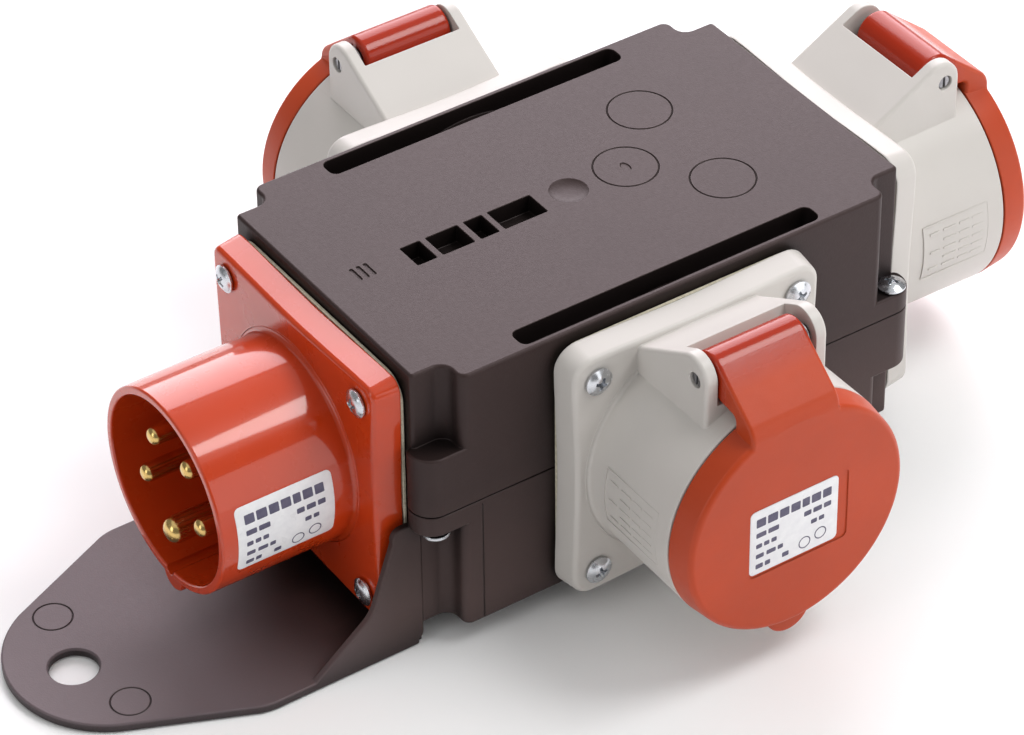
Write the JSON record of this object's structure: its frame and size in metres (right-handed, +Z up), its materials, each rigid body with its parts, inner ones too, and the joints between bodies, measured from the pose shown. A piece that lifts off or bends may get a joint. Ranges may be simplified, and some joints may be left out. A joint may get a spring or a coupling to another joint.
{
  "type": "portable power distribution box",
  "caption": "Portable power distribution box: a pin inlet on one end feeds lidded socket outlets on the other faces, with a flat tab to hang it by.",
  "frame": {"origin": "middle of the casing's underside, on the plane that the raised base and the tab rest on", "axes": "+X along the casing from the inlet and the tab towards the end socket, +Y towards the rear socket, +Z up through the top panel"},
  "size_m": [0.29, 0.195, 0.0918],
  "materials": {
    "casing": "fine matte moulded grain, very dark brown-black",
    "red_gloss": "glossy moulded orange-red",
    "lid_red": "satin moulded orange-red",
    "grey_gloss": "glossy moulded light warm grey",
    "gasket": "cream closed-cell foam",
    "lid_rubber": "dark rubber",
    "brass": "polished",
    "zinc": "bright zinc plate",
    "spring_steel": "drawn wire and rod",
    "loom": "smooth sheath"
  },
  "bodies": {
    "casing": {"casing_screw_inlet_end_front": "zinc", "casing_screw_inlet_end_rear": "zinc", "casing_screw_socket_end_front": "zinc", "casing_screw_socket_end_rear": "zinc", "end_closing_spring": "spring_steel", "end_contact_carrier": "grey_gloss", "end_gasket": "gasket", "end_hinge_pin": "spring_steel", "end_screw_1": "zinc", "end_screw_2": "zinc", "end_screw_3": "zinc", "end_screw_4": "zinc", "end_socket_body": "grey_gloss", "front_closing_spring": "spring_steel", "front_contact_carrier": "grey_gloss", "front_gasket": "gasket", "front_hinge_pin": "spring_steel", "front_screw_1": "zinc", "front_screw_2": "zinc", "front_screw_3": "zinc", "front_screw_4": "zinc", "front_socket_body": "grey_gloss", "inlet_gasket": "gasket", "inlet_housing": "red_gloss", "inlet_pin_carrier": "red_gloss", "inlet_pin_earth": "brass", "inlet_pin_l1": "brass", "inlet_pin_l2": "brass", "inlet_pin_l3": "brass", "inlet_pin_neutral": "brass", "inlet_screw_1": "zinc", "inlet_screw_2": "zinc", "inlet_screw_3": "zinc", "inlet_screw_4": "zinc", "loom_end": "loom", "loom_front": "loom", "loom_rear": "loom", "lower_shell": "casing", "rear_closing_spring": "spring_steel", "rear_contact_carrier": "grey_gloss", "rear_gasket": "gasket", "rear_hinge_pin": "spring_steel", "rear_screw_1": "zinc", "rear_screw_2": "zinc", "rear_screw_3": "zinc", "rear_screw_4": "zinc", "rear_socket_body": "grey_gloss", "upper_shell": "casing"},
    "front_lid": {"front_lid": "lid_red", "front_lid_seal": "lid_rubber"},
    "end_lid": {"end_lid": "lid_red", "end_lid_seal": "lid_rubber"},
    "rear_lid": {"rear_lid": "lid_red", "rear_lid_seal": "lid_rubber"}
  },
  "joints": [
    {"name": "front_lid_hinge", "type": "hinge", "parent": "casing", "child": "front_lid", "pos_m": [-0.0006, -0.0792, 0.085], "axis": [-1, 0, 0], "range_deg": [0, 120], "stiffness_Nm_per_rad": 0.02, "springref_deg": -34.38},
    {"name": "end_lid_hinge", "type": "hinge", "parent": "casing", "child": "end_lid", "pos_m": [0.1057, 0, 0.0856], "axis": [0, -1, 0], "range_deg": [0, 120], "stiffness_Nm_per_rad": 0.02, "springref_deg": -34.38},
    {"name": "rear_lid_hinge", "type": "hinge", "parent": "casing", "child": "rear_lid", "pos_m": [0, 0.0792, 0.0856], "axis": [1, 0, 0], "range_deg": [0, 120], "stiffness_Nm_per_rad": 0.02, "springref_deg": -34.38}
  ]
}
